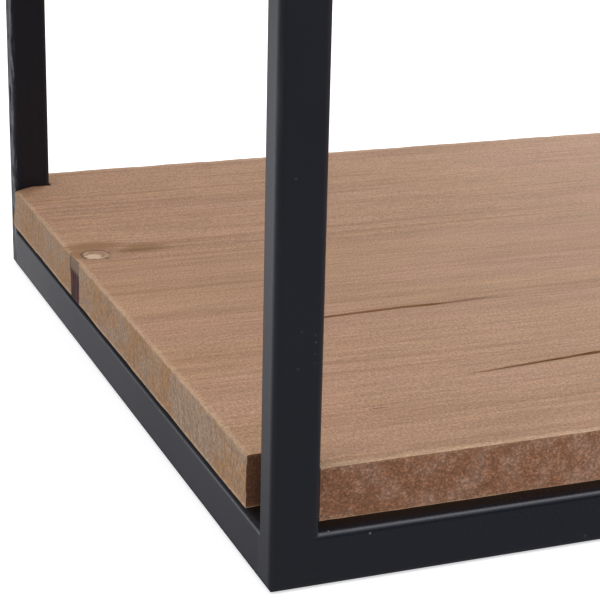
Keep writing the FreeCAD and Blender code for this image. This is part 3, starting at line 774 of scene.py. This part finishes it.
def coat_material(name, kind, lumpy=False):
    """kind says which way the tube runs: z for uprights, x or y for rails."""
    t = Tree(name, specular=0.42 if lumpy else 0.62)
    x, y, z = t.split(t.mm)
    cloud = t.noise(t.mm, (90, 90, 140), detail=3)
    peel = t.noise(t.mm, (1.6, 1.6, 1.6), detail=2)
    grit = t.noise(t.mm, (0.5, 0.5, 0.5), detail=1)
    c = t.mix(t.step(cloud, 0.30, 0.70), (0.0048, 0.0058, 0.0106), (0.0062, 0.0074, 0.0132))
    rough = t.math("MULTIPLY_ADD", cloud, 0.12, t.math("MULTIPLY", grit, 0.10))
    high = t.math("MULTIPLY_ADD", peel, 0.8, t.math("MULTIPLY", grit, 0.25))
    ax = t.math("ABSOLUTE", x)
    ex = nearest_edge(t, ax, (HALF_W * 1000, (HALF_W - TUBE_X) * 1000))
    ey = nearest_edge(t, y, tuple(1000 * f for f in (FRONT, FRONT + TUBE_Y, BACK - TUBE_Y, BACK)))
    lift = t.math("MODULO", z, 420.0)
    rough = t.math("ADD", rough, t.step(lift, 18.0, 75.0, 0.28, 0.32) if kind == "z" else 0.18 if kind == "x" else 0.28)
    if kind == "y":
        end = nearest_edge(t, y, (1000 * FRONT, 1000 * BACK))
        t.shade(Specular_IOR_Level=t.step(end, 15.0, 140.0, 0.46, 0.27))
    ez = t.math("MINIMUM", t.math("ABSOLUTE", lift), t.math("ABSOLUTE", t.math("SUBTRACT", lift, RAIL_H * 1000)))
    if kind == "z":
        arris = t.math("ADD", ex, ey)
    elif kind == "x":
        arris = t.math("ADD", ey, ez)
    elif kind == "y":
        arris = t.math("ADD", nearest_edge(t, ax, (HALF_W * 1000, HALF_W * 1000 - 12)), ez)
    else:
        arris = None
    if arris is not None:            # rubbed arrises: thinner, greyer and shinier in patches
        rub = t.noise(t.mm, (9, 9, 26) if kind == "z" else ((26, 9, 9) if kind == "x" else (9, 26, 9)), detail=4, rough=0.65)
        worn = t.math("MULTIPLY", t.step(arris, 0.9, 2.4, 1.0, 0.0), t.step(rub, 0.54, 0.70))
        c = t.mix(t.math("MULTIPLY", worn, 0.16), c, (0.060, 0.060, 0.064))
        high = t.math("SUBTRACT", high, t.math("MULTIPLY", worn, 0.15))
    # a little lint and dust in the coat, and faint rub marks
    lint = t.noise(t.mm, (2.4, 2.4, 2.4), shift=(3.1, 8.2, 5.7), detail=0)
    seldom = t.noise(t.mm, (31, 31, 31), shift=(1.7, 2.9, 6.1), detail=1)
    speck = t.math("MULTIPLY", t.step(lint, 0.83, 0.86), t.step(seldom, 0.60, 0.66))
    c = t.mix(t.math("MULTIPLY", speck, 0.14), c, (0.16, 0.16, 0.17))
    for at, size, strong in DUST.get(kind, ()):
        d = t.vec("LENGTH", t.vec("SUBTRACT", t.mm, at))
        c = t.mix(t.step(d, size * 0.4, size, strong, 0.0), c, (0.34, 0.34, 0.36))
    if lumpy:                        # runs and nicks along the left face
        runs = t.noise(t.mm, (3.2, 3.2, 9.0), shift=(2.0, 7.0, 3.0), detail=3, rough=0.65)
        patch = t.step(t.noise(t.mm, (40, 40, 40), shift=(4.0, 1.0, 2.0), detail=1), 0.34, 0.56, 0.35, 1.0)
        patch = t.math("MULTIPLY", patch, t.step(z, 260.0, 560.0, 1.0, 0.22))   # scuffed at the foot above all
        high = t.math("ADD", high, t.math("MULTIPLY", t.math("MULTIPLY", runs, patch), 9.0))
        left = t.step(x, -399.4, -398.0, 1.0, 0.0)
        scuff = t.math("MULTIPLY", t.step(t.noise(t.mm, (2.6, 2.6, 17.0), shift=(9.0, 4.0, 1.0), detail=3, rough=0.7), 0.50, 0.60), left)
        c = t.mix(t.math("MULTIPLY", t.math("MULTIPLY", scuff, patch), 0.75), c, (0.105, 0.103, 0.116))
        nick = t.math("MULTIPLY", t.step(t.noise(t.mm, (4.0, 4.0, 11.0), shift=(1.0, 6.0, 8.0), detail=2), 0.54, 0.60), t.step(y, 176.0, 183.0))
        t.shade(Specular_IOR_Level=t.math("MULTIPLY_ADD", nick, -0.40, 0.42))
        rough = t.math("ADD", rough, t.math("MULTIPLY", nick, 0.35))
    rubs = t.noise(t.mm, (5.0, 5.0, 44.0) if kind == "z" else (44.0, 5.0, 5.0), shift=(5.0, 1.0, 9.0), detail=3, rough=0.7)
    rough = t.math("ADD", rough, t.step(rubs, 0.60, 0.80, 0.0, 0.10))
    t.shade(Base_Color=c, Roughness=rough, Normal=t.bump(high, 0.00008, 0.5))
    return t.mat


def weld_material():
    t = Tree("weld_coat", specular=0.62)
    lap = t.noise(t.mm, (2.2, 2.2, 2.2), detail=3, rough=0.6)
    grind = t.noise(t.mm, (0.8, 6.0, 0.8), detail=2)
    c = t.mix(t.step(lap, 0.35, 0.70), (0.0048, 0.0058, 0.0106), (0.0064, 0.0076, 0.0134))
    high = t.math("ADD", lap, t.math("MULTIPLY", grind, 0.4))
    t.shade(Base_Color=c, Roughness=t.math("MULTIPLY_ADD", grind, 0.12, 0.33), Normal=t.bump(high, 0.00010, 0.5))
    return t.mat


def rubber_material():
    t = Tree("rubber_black", specular=0.3)
    bloom = t.noise(t.mm, (5.0, 5.0, 5.0), detail=3)
    fine = t.noise(t.mm, (0.4, 0.4, 0.4), detail=2)
    c = t.mix(t.step(bloom, 0.40, 0.75), (0.014, 0.014, 0.015), (0.036, 0.036, 0.037))
    t.shade(Base_Color=c, Roughness=t.math("MULTIPLY_ADD", bloom, 0.2, 0.62), Normal=t.bump(fine, 0.0001, 0.5))
    return t.mat


def plastic_material():
    t = Tree("plug_black", specular=0.4)
    leather = t.noise(t.mm, (0.9, 0.9, 0.9), detail=2, rough=0.6)
    cloud = t.noise(t.mm, (14, 14, 14), detail=2)
    c = t.mix(t.step(cloud, 0.35, 0.70), (0.0125, 0.0128, 0.0135), (0.0190, 0.0190, 0.0200))
    t.shade(Base_Color=c, Roughness=t.math("MULTIPLY_ADD", leather, 0.16, 0.38), Normal=t.bump(leather, 0.00012, 0.5))
    return t.mat


COATS = {
    "upright": coat_material("coat_upright", "z"),
    "upright_back_left": coat_material("coat_upright_lumpy", "z", lumpy=True),
    "front_rail": coat_material("coat_long_rail", "x"),
    "left_rail": coat_material("coat_side_rail", "y"),
    "welds": weld_material(),
    "bumpers": rubber_material(),
    "plugs": plastic_material(),
}
COATS["back_rail"], COATS["right_rail"] = COATS["front_rail"], COATS["left_rail"]

for o in bpy.data.objects:
    if o.type != "MESH" or "board" in o.name:
        continue
    for key, m in COATS.items():
        if o.name.startswith(key) or key == "plugs" and o.name.endswith("plugs"):
            for s in o.material_slots:
                s.material = m


# ----------------------------------------------------------------------------
# floor, light, camera
# ----------------------------------------------------------------------------
def floor_material():
    t = Tree("floor_white", roughness=0.8, specular=0.1)
    soft = t.noise(t.mm, (700, 700, 700), detail=2)
    c = t.mix(soft, (0.66, 0.66, 0.66), (0.70, 0.70, 0.70))
    # a white table lit from below, so that the object throws hardly any shadow on it
    t.shade(Base_Color=c, Emission_Color=(1.0, 1.0, 1.0, 1.0), Emission_Strength=0.60)
    return t.mat


bm = bmesh.new()
bmesh.ops.create_grid(bm, x_segments=8, y_segments=8, size=9.0)
floor_mesh = bpy.data.meshes.new("studio_floor")
bm.to_mesh(floor_mesh)
bm.free()
floor_mesh.materials.append(floor_material())
floor = bpy.data.objects.new("studio_floor", floor_mesh)
floor.location.z = -0.0004
floor.visible_glossy = False         # the coat mirrors the dim lower half of the studio instead
bpy.context.scene.collection.objects.link(floor)


def studio(world):
    """Soft light that grows from the dim lower half of the room to its bright ceiling."""
    nodes, links = world.node_tree.nodes, world.node_tree.links
    sky = nodes["Background"]
    sky.inputs["Color"].default_value = (0.965, 0.958, 1.0, 1.0)
    way = nodes.new("ShaderNodeSeparateXYZ")
    links.new(nodes.new("ShaderNodeTexCoord").outputs["Generated"], way.inputs[0])

    def ramp(v, lo, hi, a, b):
        n = nodes.new("ShaderNodeMapRange")
        n.interpolation_type = "SMOOTHSTEP"
        links.new(v, n.inputs[0])
        for i, v in enumerate((lo, hi, a, b)):
            n.inputs[i + 1].default_value = v
        return n.outputs[0]

    def math(op, a, b, c=0.0):
        n = nodes.new("ShaderNodeMath")
        n.operation = op
        for i, v in enumerate((a, b, c)):
            if hasattr(v, "is_output"):
                links.new(v, n.inputs[i])
            else:
                n.inputs[i].default_value = v
        return n.outputs[0]

    # a lighter band round the horizon at the back left, lighter still at the left, darker behind the viewer
    east, north, up = way.outputs
    side = math("MULTIPLY_ADD", east, -0.35, math("MULTIPLY", north, 0.94))
    band = math("MULTIPLY", ramp(up, -0.45, -0.06, 0.05, 0.64), ramp(up, -0.17, 0.0, 1.0, 0.10))
    band = math("MULTIPLY", band, ramp(east, -0.42, -0.08, 1.0, 0.45))
    low = math("MULTIPLY_ADD", band, ramp(side, -0.60, 0.85, 0.0, 1.0), 0.045)
    glow = math("MULTIPLY", ramp(up, -0.44, -0.28, 0.0, 2.05), ramp(up, -0.22, -0.04, 1.0, 0.0))
    glow = math("MULTIPLY", glow, ramp(north, -0.50, 0.60, 0.12, 1.0))
    low = math("MULTIPLY_ADD", glow, ramp(east, -0.54, -0.22, 1.0, 0.0), low)
    low = math("MULTIPLY_ADD", ramp(side, -0.60, 0.50, 1.0, 0.0), ramp(up, -0.42, -0.06, 0.185, 0.0), low)
    # a ceiling that is brighter to the right and back
    window = math("MULTIPLY_ADD", east, 0.26, math("MULTIPLY_ADD", north, 0.14, 1.0))
    high = math("MULTIPLY", ramp(up, 0.14, 0.85, 0.0, 1.22), window)
    corner = math("MULTIPLY_ADD", east, -0.70, math("MULTIPLY", north, 0.70))
    dim = math("MULTIPLY", ramp(corner, 0.45, 0.85, 0.0, 0.80), ramp(up, 0.40, 0.75, 1.0, 0.0))
    high = math("MULTIPLY", high, math("SUBTRACT", 1.0, dim))
    links.new(math("ADD", low, high), sky.inputs["Strength"])


world = bpy.data.worlds.new("studio")
bpy.context.scene.world = world
world.use_nodes = True
studio(world)


def lamp(name, at, to, power, wide, high, colour=(1.0, 1.0, 1.0), mirrored=True):
    data = bpy.data.lights.new(name, "AREA")
    data.shape, data.size, data.size_y, data.energy = "RECTANGLE", wide, high, power
    data.color = colour
    o = bpy.data.objects.new(name, data)
    o.location = at
    o.rotation_euler = (Vector(to) - Vector(at)).to_track_quat("-Z", "Y").to_euler()
    o.visible_glossy = mirrored
    bpy.context.scene.collection.objects.link(o)


lamp("key", (-3.6, -0.9, 1.7), (0.0, 0.0, 0.1), 56.0, 3.0, 2.6, mirrored=False)
lamp("back", (3.0, 3.6, 2.3), (0.0, 0.0, 0.1), 140.0, 2.6, 2.6, (1.0, 0.955, 0.88))
lamp("over", (1.05, -1.45, 2.75), (-0.1, -0.1, 0.0), 12.5, 1.7, 1.2, (0.86, 0.90, 1.0))
lamp("side", (3.6, -1.2, 1.8), (0.0, 0.0, 0.4), 60.0, 2.4, 2.4)

camera = bpy.data.cameras.new("camera")
camera.sensor_fit = "HORIZONTAL"
camera.sensor_width = 36.0
camera.lens = 109.1469
camera.clip_start, camera.clip_end = 0.05, 60.0
eye = bpy.data.objects.new("camera", camera)
eye.matrix_world = Matrix((
    (0.932941, 0.096330, -0.346904, -0.59212),
    (-0.359398, 0.306273, -0.881493, -0.71131),
    (0.021333, 0.947057, 0.320355, 0.28903),
    (0.0, 0.0, 0.0, 1.0),
))
bpy.context.scene.collection.objects.link(eye)
bpy.context.scene.camera = eye
bpy.context.scene.view_settings.view_transform = "Standard"
bpy.context.scene.view_settings.look = "None"

bpy.context.view_layer.update()
